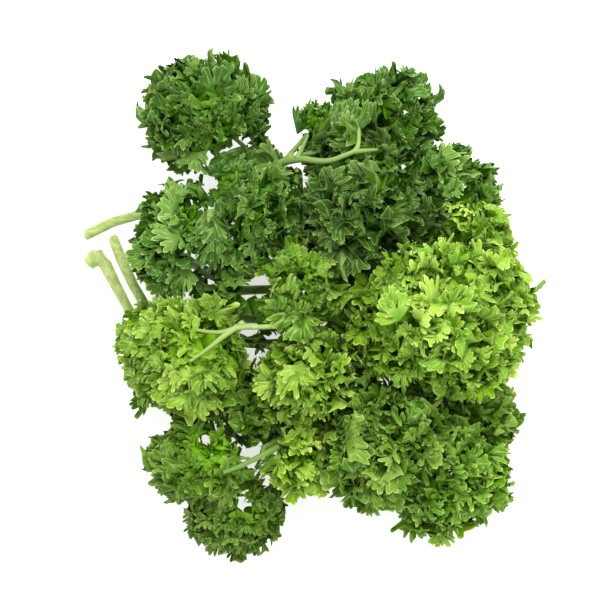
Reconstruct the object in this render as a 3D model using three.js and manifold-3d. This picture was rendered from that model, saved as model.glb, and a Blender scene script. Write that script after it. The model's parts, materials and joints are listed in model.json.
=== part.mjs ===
// A cut bunch of curly parsley lying on its side. Seven sprigs gather at their cut ends on
// the left, and their stalks fork under the leaves. Each branch carries one leaf: a small
// core with waved, toothed blades that stand out of it on every side.
// Units are millimetres, +X runs from the cut ends to the crown, and +Z is up.
import * as THREE from "three";
import { mergeVertices } from "three/addons/utils/BufferGeometryUtils.js";
import Module from "manifold-3d";

const wasm = await Module();
wasm.setup();

// Driving dimensions.
const CLEARANCE = 0.35; // between two neighbouring pieces
const FLOOR_PRESS = 0.8; // how far the lowest leaves are pressed flat by the surface
const GROUND = { side: 400, depth: 20 };

// The stalks and their branches.
const STALK_RADIUS = { cut: 2.3, fork: 1.7 };
const STALK_SIDES = 7;
const STALK_STEP = 12; // the length of one straight stretch
const BRANCH_RADIUS = { root: 1.45, tip: 1.1 };
const BRANCH_SIDES = 5;
const BRANCH_STEP = 10;
const BRANCH_LEAD = 0.4; // a branch's last straight stretch, as a share of its leaf's radius
const NECK_GAP = 0.7; // from the end of a branch to the core of its leaf
const USUAL_LIFT = 0.6; // how far a leaf turns up from the way its branch points
const STALK_SAMPLES = 50; // points along a stalk that the leaves' cores keep clear of
const BRANCH_SAMPLES = 16;

// The parts of a leaf, as shares of its radius.
const CORE_SHARE = 0.56;
const ROOT_SHARE = 0.34;
const MIDDLE_SHARE = 0.74;
const VALLEY_SHARE = 0.86;
const CORE_BUMPS = 0.3; // how much the core's corners differ, as a share of its radius
const CORE_OUTLINE = [[0, -1], [0.3, -1], [0.9, -0.35], [0.9, 0.45], [0, 1]]; // across, up
const CORE_SIDES = { small: 6, large: 8 };
const LARGE_LEAF = 24; // the radius from which a leaf's core has more sides

// The blades of a leaf.
const BLADE_THICKNESS = 0.7;
const BLADE_AREA = 95; // square millimetres of the leaf's squared radius for each blade
const FEWEST_BLADES = 5;
const TEETH = 3;
const BLADE_COVER = 4.8; // a blade's width in radians, times the root of the blade count
const BLADE_LEAN = 0.45; // radians that a blade turns over between its root and its edge
const BLADE_ROLL = 1.1; // the widest difference in radians between two blades' turns
const BLADE_WAVE = 0.14; // radians that the edge waves to each side
const FIRST_TURN = 0.3; // how far the first blade stands from the leaf's tip, in places
const LAST_RING = 1.95; // radians from the leaf's tip to its lowest ring of blades
const STALK_CONE = 2.6; // radians from the tip to the room that is kept for the branch
const GOLDEN_ANGLE = Math.PI * (3 - Math.sqrt(5));

const TONES = {
  stalk: { color: 0xa0b870, roughness: 0.45 },
  dark: { color: 0x4f6f24, roughness: 0.6 },
  middle: { color: 0x6c9030, roughness: 0.6 },
  light: { color: 0x86ad38, roughness: 0.6 },
};

// Each sprig has the route of its stalk, from the cut end to the fork, and its leaves.
// A leaf has its centre, its radius and the share of the stalk's length at which its branch
// starts. Some have the points that the branch bends round, or a lift of their own.
const SPRIGS = {
  a: {
    tone: "dark",
    route: [[-88, 31, 4], [-68, 39, 7], [-38, 36, 13], [-18, 38, 28], [-11, 52, 44]],
    leaves: [
      { at: [-40, 72.5, 34], radius: 28.5, start: 0.99 },
      { at: [28, 72, 32], radius: 22, start: 0.99, via: [[6, 57, 44]] },
      { at: [3, 67, 46], radius: 9.5, start: 0.97, lift: 0.1 },
      { at: [-27, 46, 24], radius: 22, start: 0.5, lift: 0.2 },
    ],
  },
  b: {
    tone: "middle",
    route: [[-88, 22, 3.5], [-83, 25, 4], [-73, 7, 3.5], [-59, -16, 6], [-36, -27, 12],
      [-16, -42, 20], [-9, -52, 40]],
    leaves: [
      { at: [-39.5, -58, 36], radius: 24, start: 1, via: [[-22, -61, 47]], lift: 0.3 },
      { at: [-1, -57, 38], radius: 20, start: 0.97 },
      { at: [-29.5, -78, 21], radius: 21, start: 0.86, via: [[-20, -62, 27]] },
      { at: [-50, -37, 17], radius: 19, start: 0.5 },
      { at: [-23, -44, 36], radius: 21, start: 0.8, lift: 0.3 },
    ],
  },
  c: {
    tone: "light",
    route: [[-77, 31, 2.1], [-69, 12, 8], [-58, -4, 13], [-24, -14, 19], [0, -14, 32],
      [4, -15, 56]],
    leaves: [
      { at: [-42, -24, 50], radius: 28.5, start: 1, via: [[-10, -15, 66], [-27, -15, 65]], lift: 0 },
      { at: [1, -32, 55], radius: 25, start: 0.84, via: [[3, -24, 42]] },
      { at: [-3, 2, 58], radius: 21, start: 0.84, via: [[-1, -5, 42]] },
      { at: [-63.5, -9, 14], radius: 14, start: 0.3, lift: 0 },
    ],
  },
  d: {
    tone: "dark",
    route: [[-64, 28, 3], [-56, 26, 6], [-44, 18, 12], [-36, 10, 32], [-38, 19, 52],
      [-37, 31, 56]],
    leaves: [
      { at: [-47, 22, 36], radius: 24.5, start: 0.97, lift: 0.3 },
      { at: [-13, 28, 50], radius: 23, start: 0.98, lift: 0.3 },
      { at: [-27, 3, 32], radius: 24, start: 0.5, lift: 0.2 },
    ],
  },
  e: {
    tone: "dark",
    route: [[-54, 12, 2.1], [-30, 9, 6], [0, 12, 12], [13, 26, 22]],
    leaves: [
      { at: [20, 36, 54], radius: 33.4, start: 0.98 },
      { at: [50, 40, 30], radius: 25, start: 0.98, via: [[34, 41, 22]] },
      { at: [18, 60, 17], radius: 22, start: 0.98, via: [[15, 38, 20]] },
    ],
  },
  f: {
    tone: "light",
    route: [[-54, 4, 2.2], [-25, -2, 5], [5, -2, 8], [31, -6, 20]],
    leaves: [
      { at: [48, -9, 53], radius: 37, start: 0.98 },
      { at: [61, 23, 45], radius: 22, start: 0.98, via: [[50, 15, 26]] },
      { at: [61, -8, 20], radius: 25, start: 0.98, lift: 0.2 },
      { at: [22, 6, 32], radius: 21, start: 0.9 },
    ],
  },
  g: {
    tone: "middle",
    route: [[-58, -8, 2.1], [-30, -22, 4], [0, -28, 6], [21, -38, 16]],
    leaves: [
      { at: [27.5, -54.5, 45], radius: 30, start: 0.98 },
      { at: [51.5, -65, 25], radius: 27, start: 0.98, via: [[40, -57, 15]] },
      { at: [57, -41, 18], radius: 24, start: 0.98, lift: 0.2 },
      { at: [4, -45, 15], radius: 21, start: 0.72, lift: 0.35 },
    ],
  },
};

const vector = (point) => new THREE.Vector3(...point);

// A repeatable draw from 0 to 1 for each whole number.
function draw(number) {
  const wave = Math.sin(number * 127.1 + 311.7) * 43758.5453;
  return wave - Math.floor(wave);
}

// ---- Closed solids ----

// A closed geometry as a manifold solid, and back.
function solidOf(geometry) {
  const bare = geometry.index ? geometry.toNonIndexed() : geometry.clone();
  const position = new THREE.BufferGeometry().setAttribute("position", bare.getAttribute("position"));
  const merged = mergeVertices(position, 1e-4);
  return new wasm.Manifold(
    new wasm.Mesh({
      numProp: 3,
      vertProperties: merged.attributes.position.array,
      triVerts: new Uint32Array(merged.index.array),
    }),
  );
}

function geometryOf(solid) {
  const mesh = solid.getMesh();
  const geometry = new THREE.BufferGeometry();
  geometry.setAttribute("position", new THREE.BufferAttribute(mesh.vertProperties, 3));
  geometry.setIndex(new THREE.BufferAttribute(mesh.triVerts, 1));
  const flat = geometry.toNonIndexed();
  flat.computeVertexNormals();
  return flat;
}

function geometryFrom(points, triangles) {
  const geometry = new THREE.BufferGeometry().setFromPoints(points);
  geometry.setIndex(triangles.flat());
  return geometry;
}

// The outer shell of the largest body: hollows that the joining sealed are filled.
function outerBody(solid) {
  return solid.decompose().reduce((best, body) => (body.volume() > best.volume() ? body : best));
}

// ---- Stalks ----

// A tube along a curve that tapers from one radius to another, with flat ends. With a gap it
// is the way that the leaves leave free round that tube.
function taperedTube(curve, fromRadius, toRadius, sides, step, gap) {
  const steps = Math.max(3, Math.round(curve.getLength() / step));
  const frames = curve.computeFrenetFrames(steps);
  const points = [];
  const triangles = [];
  for (let i = 0; i <= steps; i++) {
    const beyond = i === 0 ? -gap : i === steps ? gap : 0;
    const centre = curve.getPointAt(i / steps).addScaledVector(frames.tangents[i], beyond);
    const radius = THREE.MathUtils.lerp(fromRadius, toRadius, i / steps) + gap;
    for (let k = 0; k < sides; k++) {
      const turn = (2 * Math.PI * k) / sides;
      points.push(centre.clone()
        .addScaledVector(frames.normals[i], radius * Math.cos(turn))
        .addScaledVector(frames.binormals[i], radius * Math.sin(turn)));
    }
  }
  for (let i = 0; i < steps; i++) {
    for (let k = 0; k < sides; k++) {
      const a = i * sides + k;
      const b = i * sides + ((k + 1) % sides);
      triangles.push([a, b, b + sides], [a, b + sides, a + sides]);
    }
  }
  const last = steps * sides;
  for (let k = 1; k < sides - 1; k++) {
    triangles.push([0, k + 1, k], [last, last + k, last + k + 1]);
  }
  return geometryFrom(points, triangles);
}

// A branch from its stalk to a distance below the leaf's centre.
function branchCurve(stalk, leaf, below) {
  const neck = leaf.centre.clone().addScaledVector(leaf.axis, -below);
  const start = stalk.getPointAt(leaf.start);
  const bends = (leaf.via ?? []).map(vector);
  const lead = neck.clone().addScaledVector(leaf.axis, -BRANCH_LEAD * leaf.radius);
  return new THREE.CatmullRomCurve3([start, ...bends, lead, neck], false, "centripetal");
}

// ---- The room that each leaf has ----

// Each limit is a flat side of the leaf's room: a direction from its centre and a distance.
// Two leaves that would meet share the space between them by their radii, and a leaf stops
// short of the surface.
function roomOf(leaf, leaves) {
  const limits = leaves.filter((other) => other !== leaf).map((other) => {
    const towards = other.centre.clone().sub(leaf.centre);
    const distance = towards.length();
    const share = (distance ** 2 + leaf.radius ** 2 - other.radius ** 2) / (2 * distance);
    return { towards: towards.normalize(), limit: share - CLEARANCE / 2 };
  });
  limits.push({ towards: new THREE.Vector3(0, 0, -1), limit: leaf.centre.z + FLOOR_PRESS });
  return limits.filter(({ limit }) => limit < leaf.radius);
}

// The core also stops short of every stalk and branch but its own. The blades go round them.
function stalkLimits(leaf, stalkPoints) {
  return stalkPoints.filter(({ branchOf }) => branchOf !== leaf).map(({ point, radius }) => {
    const towards = point.clone().sub(leaf.centre);
    const limit = towards.length() - radius - CLEARANCE;
    return { towards: towards.normalize(), limit };
  }).filter(({ limit }) => limit < leaf.radius);
}

// How far one can go from a leaf's centre in a direction.
function farthest(leaf, limits, direction) {
  return limits.reduce((least, { towards, limit }) => {
    const along = direction.dot(towards);
    return along > 0 ? Math.min(least, (limit - BLADE_THICKNESS / 2) / along) : least;
  }, leaf.radius);
}

function reach(leaf, direction) {
  return farthest(leaf, leaf.room, direction);
}

// The distance at a share of the leaf's reach, but inside the core's own limits.
function coreReach(leaf, direction, share) {
  return Math.min(share * reach(leaf, direction), farthest(leaf, leaf.stalkLimits, direction));
}

// A point of the leaf, from a direction and a share of the leaf's radius. A direction that
// would meet the leaf's own branch is turned aside.
function leafPoint(leaf, direction, share) {
  const turned = direction.clone().normalize();
  if (turned.angleTo(leaf.axis) > STALK_CONE) {
    const side = turned.clone().projectOnPlane(leaf.axis).normalize();
    turned.copy(leaf.axis).multiplyScalar(Math.cos(STALK_CONE));
    turned.addScaledVector(side, Math.sin(STALK_CONE));
  }
  return leaf.centre.clone().addScaledVector(turned, share * reach(leaf, turned));
}

// ---- Leaves ----

// A small uneven lump at the centre, with a flat underside where the branch meets it.
function coreGeometry(leaf) {
  const sides = leaf.radius > LARGE_LEAF ? CORE_SIDES.large : CORE_SIDES.small;
  const outline = CORE_OUTLINE.map(([across, up]) => new THREE.Vector2(across, up));
  const lathe = mergeVertices(new THREE.LatheGeometry(outline, sides).deleteAttribute("uv")
    .deleteAttribute("normal"), 1e-4);
  const turn = new THREE.Quaternion().setFromUnitVectors(new THREE.Vector3(0, 1, 0), leaf.axis);
  const position = lathe.getAttribute("position");
  for (let i = 0; i < position.count; i++) {
    const offset = new THREE.Vector3().fromBufferAttribute(position, i);
    const neck = offset.y < -0.9;
    const bump = neck ? 0 : CORE_BUMPS * (2 * draw(leaf.seed * 50 + i) - 1);
    const share = CORE_SHARE * offset.length() * (1 + bump);
    const direction = offset.applyQuaternion(turn).normalize();
    const distance = coreReach(leaf, direction, share);
    const point = leaf.centre.clone().addScaledVector(direction, distance);
    position.setXYZ(i, point.x, point.y, point.z);
  }
  return lathe;
}

// The rows of a blade, from its root to its toothed edge: how many points each row has, how
// wide it is, how far it leans, and how deep it waves.
const ROWS = [
  { count: 2, width: 0.2, lean: 0, wave: 0 },
  { count: 3, width: 0.7, lean: 0.3, wave: 0.5 },
  { count: 2 * TEETH + 1, width: 1, lean: 1, wave: 1 },
];
const WIDTH_RANGE = [0.85, 1.15]; // of one blade to the next
const LEAN_RANGE = [-0.8, 1.2]; // of one blade to the next, as shares of the usual lean

// The middle sheet of one blade. Blades lie across the leaf like the petals of a rose and
// lean away from its tip, each rolled a little to one side or the other.
function bladeSheet(leaf, direction, spread, seed) {
  const over = leaf.axis.clone().negate().projectOnPlane(direction).normalize();
  over.applyAxisAngle(direction, BLADE_ROLL * (draw(seed) - 0.5));
  const across = over.clone().cross(direction);
  const width = spread * THREE.MathUtils.lerp(...WIDTH_RANGE, draw(seed + 0.37));
  const lean = BLADE_LEAN * THREE.MathUtils.lerp(...LEAN_RANGE, draw(seed + 0.71));
  const points = [];
  ROWS.forEach((row, r) => {
    for (let i = 0; i < row.count; i++) {
      const side = (2 * i) / (row.count - 1) - 1;
      const tooth = i % 2 === 1;
      const share = [ROOT_SHARE, MIDDLE_SHARE, tooth ? 1 : VALLEY_SHARE][r];
      const bend = lean * row.lean + (tooth ? 1 : -1) * row.wave * BLADE_WAVE;
      const towards = direction.clone().multiplyScalar(Math.cos(bend))
        .addScaledVector(over, Math.sin(bend)).addScaledVector(across, 0.5 * side * row.width * width);
      points.push(leafPoint(leaf, towards, share));
    }
  });
  return points;
}

// The triangles between two rows of points, matched by how far along each row they lie.
function strip(firstStart, firstCount, secondStart, secondCount) {
  const triangles = [];
  let i = 0;
  let k = 0;
  while (i < firstCount - 1 || k < secondCount - 1) {
    const nextFirst = (i + 1) / (firstCount - 1);
    const nextSecond = (k + 1) / (secondCount - 1);
    if (k === secondCount - 1 || (i < firstCount - 1 && nextFirst < nextSecond)) {
      triangles.push([firstStart + i, secondStart + k, firstStart + i + 1]);
      i++;
    } else {
      triangles.push([firstStart + i, secondStart + k, secondStart + k + 1]);
      k++;
    }
  }
  return triangles;
}

// The same triangles and the same way round the edge serve every blade.
const BLADE_TRIANGLES = (() => {
  const starts = ROWS.map((_, r) => ROWS.slice(0, r).reduce((sum, row) => sum + row.count, 0));
  return ROWS.slice(1).flatMap((row, r) => strip(starts[r], ROWS[r].count, starts[r + 1], row.count));
})();

// The edges that belong to one triangle only, each in the direction that the triangle has it.
function openEdges(triangles) {
  const edges = triangles.flatMap(([a, b, c]) => [[a, b], [b, c], [c, a]]);
  const known = new Set(edges.map(([a, b]) => a + "," + b));
  return edges.filter(([a, b]) => !known.has(b + "," + a));
}

// A sheet given its thickness, with both faces split into the same triangles.
function thickened(points, triangles) {
  const normals = points.map(() => new THREE.Vector3());
  for (const [a, b, c] of triangles) {
    const first = points[b].clone().sub(points[a]);
    const face = first.cross(points[c].clone().sub(points[a]));
    for (const corner of [a, b, c]) normals[corner].add(face);
  }
  const half = BLADE_THICKNESS / 2;
  const upper = points.map((point, i) => point.clone().addScaledVector(normals[i].normalize(), half));
  const lower = points.map((point, i) => point.clone().addScaledVector(normals[i], -half));
  const count = points.length;
  const faces = [];
  for (const [a, b, c] of triangles) {
    faces.push([a, b, c], [count + a, count + c, count + b]);
  }
  for (const [a, b] of openEdges(triangles)) {
    faces.push([b, a, count + a], [b, count + a, count + b]);
  }
  return geometryFrom([...upper, ...lower], faces);
}

// The directions of a leaf's blades: a spiral from its tip down to its lowest ring.
function bladeDirections(leaf) {
  const count = Math.max(FEWEST_BLADES, Math.round(leaf.radius ** 2 / BLADE_AREA));
  const turn = new THREE.Quaternion().setFromUnitVectors(new THREE.Vector3(0, 0, 1), leaf.axis);
  const lowest = Math.cos(LAST_RING);
  return Array.from({ length: count }, (_, i) => {
    const up = 1 - ((i + FIRST_TURN) / count) * (1 - lowest);
    const out = Math.sqrt(1 - up * up);
    const angle = i * GOLDEN_ANGLE + leaf.seed;
    return new THREE.Vector3(out * Math.cos(angle), out * Math.sin(angle), up).applyQuaternion(turn);
  });
}

// The leaf, with a way through its blades for each stalk and branch.
function leafSolid(leaf, ways) {
  let whole = solidOf(coreGeometry(leaf));
  const directions = bladeDirections(leaf);
  const spread = BLADE_COVER / Math.sqrt(directions.length);
  directions.forEach((direction, i) => {
    const sheet = bladeSheet(leaf, direction, spread, leaf.seed * 100 + i);
    whole = whole.add(solidOf(thickened(sheet, BLADE_TRIANGLES)));
  });
  for (const way of ways) whole = whole.subtract(way);
  return outerBody(whole);
}

// ---- The surface that the bunch lies on ----

const ground = solidOf(new THREE.BoxGeometry(GROUND.side, GROUND.side, GROUND.depth)
  .translate(0, 0, -GROUND.depth / 2));

// ---- The bunch ----

const sprigs = Object.entries(SPRIGS).map(([name, sprig], s) => ({
  name,
  tone: sprig.tone,
  stalk: new THREE.CatmullRomCurve3(sprig.route.map(vector), false, "centripetal"),
  leaves: sprig.leaves.map((leaf, i) => ({ ...leaf, centre: vector(leaf.at), seed: s * 7 + i + 1 })),
}));
for (const sprig of sprigs) {
  for (const leaf of sprig.leaves) {
    const bends = leaf.via ?? [];
    const last = bends.length ? vector(bends[bends.length - 1]) : sprig.stalk.getPointAt(leaf.start);
    leaf.axis = leaf.centre.clone().sub(last).normalize();
    leaf.axis.z += leaf.lift ?? USUAL_LIFT;
    leaf.axis.normalize();
    leaf.branch = branchCurve(sprig.stalk, leaf, CORE_SHARE * leaf.radius);
  }
}

const allLeaves = sprigs.flatMap((sprig) => sprig.leaves);
const stalkPoints = sprigs.flatMap((sprig) => {
  const main = sprig.stalk.getSpacedPoints(STALK_SAMPLES).map((point, i) => ({
    point,
    radius: THREE.MathUtils.lerp(STALK_RADIUS.cut, STALK_RADIUS.fork, i / STALK_SAMPLES),
  }));
  const branches = sprig.leaves.flatMap((leaf) => leaf.branch.getSpacedPoints(BRANCH_SAMPLES)
    .map((point) => ({ point, radius: BRANCH_RADIUS.root, branchOf: leaf })));
  return [...main, ...branches];
});
for (const leaf of allLeaves) {
  leaf.room = roomOf(leaf, allLeaves);
  leaf.stalkLimits = stalkLimits(leaf, stalkPoints);
}

// With its room known, each branch ends just short of its leaf's core.
for (const sprig of sprigs) {
  for (const leaf of sprig.leaves) {
    const down = leaf.axis.clone().negate();
    const below = coreReach(leaf, down, CORE_SHARE) + NECK_GAP;
    leaf.branch = branchCurve(sprig.stalk, leaf, below);
  }
}

// The forked stalk of a sprig, or the way that the leaves leave free for it.
function stalkSolid(sprig, gap) {
  let whole = solidOf(taperedTube(sprig.stalk, STALK_RADIUS.cut, STALK_RADIUS.fork,
    STALK_SIDES, STALK_STEP, gap));
  for (const leaf of sprig.leaves) {
    whole = whole.add(solidOf(taperedTube(leaf.branch, BRANCH_RADIUS.root, BRANCH_RADIUS.tip,
      BRANCH_SIDES, BRANCH_STEP, gap)));
  }
  return outerBody(whole);
}

const materials = Object.fromEntries(Object.entries(TONES).map(([name, { color, roughness }]) => [
  name, new THREE.MeshStandardMaterial({ color, roughness, metalness: 0 })]));

function meshOf(name, solid, tone) {
  const mesh = new THREE.Mesh(geometryOf(outerBody(solid.subtract(ground))), materials[tone]);
  mesh.name = name;
  return mesh;
}

const ways = sprigs.map((sprig) => stalkSolid(sprig, CLEARANCE));
const bunch = new THREE.Group();
for (const sprig of sprigs) {
  const group = new THREE.Group();
  group.add(meshOf(`sprig_${sprig.name}_stalk`, stalkSolid(sprig, 0), "stalk"));
  sprig.leaves.forEach((leaf, i) => {
    group.add(meshOf(`sprig_${sprig.name}_leaf_${i + 1}`, leafSolid(leaf, ways), sprig.tone));
  });
  bunch.add(group);
}

// The origin is under the middle of the bunch, on the surface that it lies on.
const box = new THREE.Box3().setFromObject(bunch);
const middle = box.getCenter(new THREE.Vector3());
bunch.position.set(-middle.x, -middle.y, -box.min.z);

export default bunch;
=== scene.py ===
# %% [markdown]
# # A bunch of curly parsley
#
# Curly parsley is a bundle of forked stalks, and every fork ends in a ruffled head: some
# eighty small leaflets, each a pleated fan with blunt teeth, so crowded that they curl over
# each other. Cut and laid down, the heads press together into one soft heap. The plain solids
# of the bunch come first, because they say where each stalk and head is and how much room it
# has. Everything visible then grows inside that room.

# %% The bunch's plain solids
import json
import math
import bmesh
import bpy
import numpy as np
from mathutils import Matrix, Vector


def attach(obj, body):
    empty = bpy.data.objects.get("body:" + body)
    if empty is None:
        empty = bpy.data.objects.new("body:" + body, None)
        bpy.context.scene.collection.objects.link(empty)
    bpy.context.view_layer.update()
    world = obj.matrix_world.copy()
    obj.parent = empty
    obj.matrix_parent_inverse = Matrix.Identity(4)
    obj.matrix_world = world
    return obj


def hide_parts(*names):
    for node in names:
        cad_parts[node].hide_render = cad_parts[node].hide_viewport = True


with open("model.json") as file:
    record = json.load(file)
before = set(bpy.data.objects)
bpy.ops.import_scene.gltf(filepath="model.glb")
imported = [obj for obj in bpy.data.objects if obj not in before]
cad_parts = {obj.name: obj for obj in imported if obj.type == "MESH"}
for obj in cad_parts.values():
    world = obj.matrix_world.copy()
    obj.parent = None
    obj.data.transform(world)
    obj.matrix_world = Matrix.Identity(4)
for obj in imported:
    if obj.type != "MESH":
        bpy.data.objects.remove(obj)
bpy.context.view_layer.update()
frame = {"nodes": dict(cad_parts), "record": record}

MM = 0.001
leaf_names = sorted(name for name in frame["nodes"] if "_leaf_" in name)
stalk_names = sorted(name for name in frame["nodes"] if name.endswith("_stalk"))

# %% [markdown]
# ## Camera
#
# The bunch lies on a table and is looked at from almost straight above, from about a metre
# away with a long lens. A long lens keeps the near heads from looking larger than the low
# ones. The camera is tipped ten degrees off the vertical, which shows a little of the heap's
# side and gives it depth.

# %% Camera
VIEW_ELEVATION = math.radians(80)
VIEW_DISTANCE = 1.15
VIEW_WIDTH = 0.228  # how much of the table the picture spans
AIM = (-0.0014, -0.0009, 0.030)
SENSOR_WIDTH = 36.0
FARTHEST_SEEN = 20.0


def add_camera():
    data = bpy.data.cameras.new("camera")
    data.sensor_width = SENSOR_WIDTH
    data.lens = SENSOR_WIDTH * VIEW_DISTANCE / VIEW_WIDTH
    data.clip_end = FARTHEST_SEEN
    camera = bpy.data.objects.new("camera", data)
    back = VIEW_DISTANCE * math.cos(VIEW_ELEVATION)
    up = VIEW_DISTANCE * math.sin(VIEW_ELEVATION)
    camera.location = (AIM[0], AIM[1] - back, AIM[2] + up)
    camera.rotation_euler = (math.pi / 2 - VIEW_ELEVATION, 0.0, 0.0)
    bpy.context.scene.collection.objects.link(camera)
    bpy.context.scene.camera = camera
    return camera


camera = add_camera()
print("camera lens mm", round(camera.data.lens, 1))

# %% [markdown]
# ## Light
#
# Leaves are small mirrors as well as coloured sheets, so a single hard lamp would cover them
# in glints. A bright even surround gives the soft, almost shadowless look of a light tent, and
# one large lamp above adds just enough direction for the ruffles to read.

# %% Light
SURROUND_STRENGTH = 1.0
KEY_POWER = 10.0
KEY_SIZE = 0.7
KEY_PLACE = (0.10, 0.35, 0.95)
WHITE = (1.0, 1.0, 1.0, 1.0)


def add_area_lamp(name, place, size, power):
    """A square lamp that looks at the middle of the table."""
    data = bpy.data.lights.new(name, "AREA")
    data.energy = power
    data.size = size
    lamp = bpy.data.objects.new(name, data)
    lamp.location = place
    aim = -np.array(place) / np.linalg.norm(place)
    tilt = math.acos(-aim[2])
    turn = math.atan2(aim[1], aim[0]) - math.pi / 2
    lamp.rotation_euler = (tilt, 0.0, turn)
    bpy.context.scene.collection.objects.link(lamp)


def add_surround():
    world = bpy.data.worlds.new("surround")
    world.use_nodes = True
    background = world.node_tree.nodes["Background"]
    background.inputs["Color"].default_value = WHITE
    background.inputs["Strength"].default_value = SURROUND_STRENGTH
    bpy.context.scene.world = world


add_surround()
add_area_lamp("key", KEY_PLACE, KEY_SIZE, KEY_POWER)
bpy.context.scene.view_settings.view_transform = "Standard"
print("lamp power", KEY_POWER)

# %% [markdown]
# ## Ground
#
# The table is one large flat sheet. A plain white one would turn grey under the heap, and the
# small openings between the heads would look like dirt. So it gets a painted glow, like a light
# table, though it is no lamp: the shadows on it stay pale, and some light comes up through the
# openings. The two helpers here are used for every piece that follows: one makes a material and
# finds its surface shader, and the other puts a mesh into the scene.

# %% Ground
GROUND_HALF_WIDTH = 3.0
GROUND_GLOW = 0.6


def new_material(name):
    material = bpy.data.materials.new(name)
    material.use_nodes = True
    return material, material.node_tree.nodes["Principled BSDF"]


def new_piece(name, mesh):
    piece = bpy.data.objects.new(name, mesh)
    bpy.context.scene.collection.objects.link(piece)
    return piece


def add_ground():
    mesh = bpy.data.meshes.new("ground")
    far = GROUND_HALF_WIDTH
    corners = [(-far, -far, 0), (far, -far, 0), (far, far, 0), (-far, far, 0)]
    mesh.from_pydata(corners, [], [(0, 1, 2, 3)])
    material, surface = new_material("pale ground")
    surface.inputs["Base Color"].default_value = (0.9, 0.9, 0.9, 1.0)
    surface.inputs["Roughness"].default_value = 0.7
    # painted glow: the ground emits light though it is no lamp, which keeps its shadows pale
    surface.inputs["Emission Color"].default_value = WHITE
    surface.inputs["Emission Strength"].default_value = GROUND_GLOW
    mesh.materials.append(material)
    ground = new_piece("ground", mesh)


add_ground()
print("ground glow", GROUND_GLOW)

# %% [markdown]
# ## Stitching two rows
#
# A leaflet will be made from rows of points, one behind the other, and the rows don't have
# equally many points. This helper fills the strip between two such rows with triangles. It
# walks along both rows at once and always steps forward on the row that lags behind, as one
# laces a shoe, so the triangles stay as even as they can be.

# %% Stitching two rows
def stitch(first, first_start, second, second_start):
    """The triangles between two rows, whose entries say which step of the fan a point is on."""
    triangles = []
    i = k = 0
    while i < len(first) - 1 or k < len(second) - 1:
        next_first = first[i + 1] if i < len(first) - 1 else math.inf
        next_second = second[k + 1] if k < len(second) - 1 else math.inf
        if next_first < next_second:
            triangles.append((first_start + i, second_start + k, first_start + i + 1))
            i += 1
        else:
            triangles.append((first_start + i, second_start + k, second_start + k + 1))
            k += 1
    return triangles


print("triangles between rows of 3 and 5 points", len(stitch([0, 2, 4], 0, [0, 1, 2, 3, 4], 3)))

# %% [markdown]
# ## The grid of a leaflet
#
# A leaflet is a fan with blunt teeth. A plain square grid would waste its faces near the root,
# where the fan is narrow, and run short of them along the toothed edge. This grid has few
# points in the rows near the root and four steps for each tooth at the edge: notch, shoulder,
# tip, shoulder. The upper and the lower side share their edge points, so the leaflet thins out
# to a sharp edge. Three triangles, one at the root and two at one corner of the tip, have all
# their corners on that edge. They come out the same on both sides, with nothing between them, so
# they are doubled, and the leaflet isn't fully closed there.

# %% The grid of a leaflet
STEPS_PER_TOOTH = 4


def fan_grid(teeth, rows):
    """Each row has a name for its points and its distance from the root, from 0 to 1."""
    last = STEPS_PER_TOOTH * teeth
    picks = {
        "ends": [0, last],
        "tips": [0, *range(2, last, STEPS_PER_TOOTH), last],
        "half": list(range(0, last + 1, 2)),
        "all": list(range(last + 1)),
    }
    step, reach, triangles = [], [], []
    previous = None
    for pick, distance in rows:
        row = picks[pick]
        if previous:
            triangles += stitch(previous, len(step) - len(previous), row, len(step))
        step += row
        reach += [distance] * len(row)
        previous = row
    step, reach, triangles = np.array(step), np.array(reach), np.array(triangles)
    edge = (reach == rows[-1][1]) | (reach == rows[0][1]) | (step == 0) | (step == last)
    inner = np.where(~edge)[0]
    lower = np.arange(len(step))
    lower[inner] = len(step) + np.arange(len(inner))
    both = np.concatenate([triangles, lower[triangles[:, ::-1]]])
    return {"teeth": teeth, "step": step, "reach": reach, "upper": triangles,
            "inner": inner, "triangles": both, "rim": open_sides(triangles)}


def open_sides(triangles):
    """The sides that only one triangle has: the outline of the fan."""
    sides = [triangles[:, [0, 1]], triangles[:, [1, 2]], triangles[:, [2, 0]]]
    sides, seen = np.unique(np.sort(np.concatenate(sides), axis=1), axis=0, return_counts=True)
    return sides[seen == 1]


LARGE_FAN = fan_grid(9, [("ends", 0.05), ("tips", 0.42), ("half", 0.74), ("all", 1.0)])
SMALL_FAN = fan_grid(5, [("ends", 0.05), ("tips", 0.42), ("half", 0.72), ("all", 1.0)])
for fan in (LARGE_FAN, SMALL_FAN):
    print("teeth", fan["teeth"], "triangles", len(fan["triangles"]))

# %% [markdown]
# ## The outline
#
# The outline of a leaflet comes from the length of each of its steps. Tips stand out furthest,
# shoulders almost as far, so that a tooth is a tongue and not a spike, and notches cut in
# between. Two of the notches go deep and part the fan into three lobes, as on every parsley
# leaflet. Every leaflet draws its own lengths, all at once as rows of numbers, so a thousand
# leaflets need no more code than one.

# %% The outline
SHOULDER_SHARE = 0.68  # how far along from tip to notch a tooth's shoulders stand
TIP_LENGTH = (0.86, 1.08)
NOTCH_DEPTH = (0.10, 0.26)
CLEFT_DEPTH = (0.38, 0.60)  # of the two notches that part the lobes
SHOULDER_LENGTH = (0.88, 0.94)  # beside the tip's length
END_LENGTH = (0.62, 0.9)  # where the fan starts and ends
LAST_ROW_FROM = 0.8  # rows from here on follow the teeth, the others are evenly spread


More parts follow.
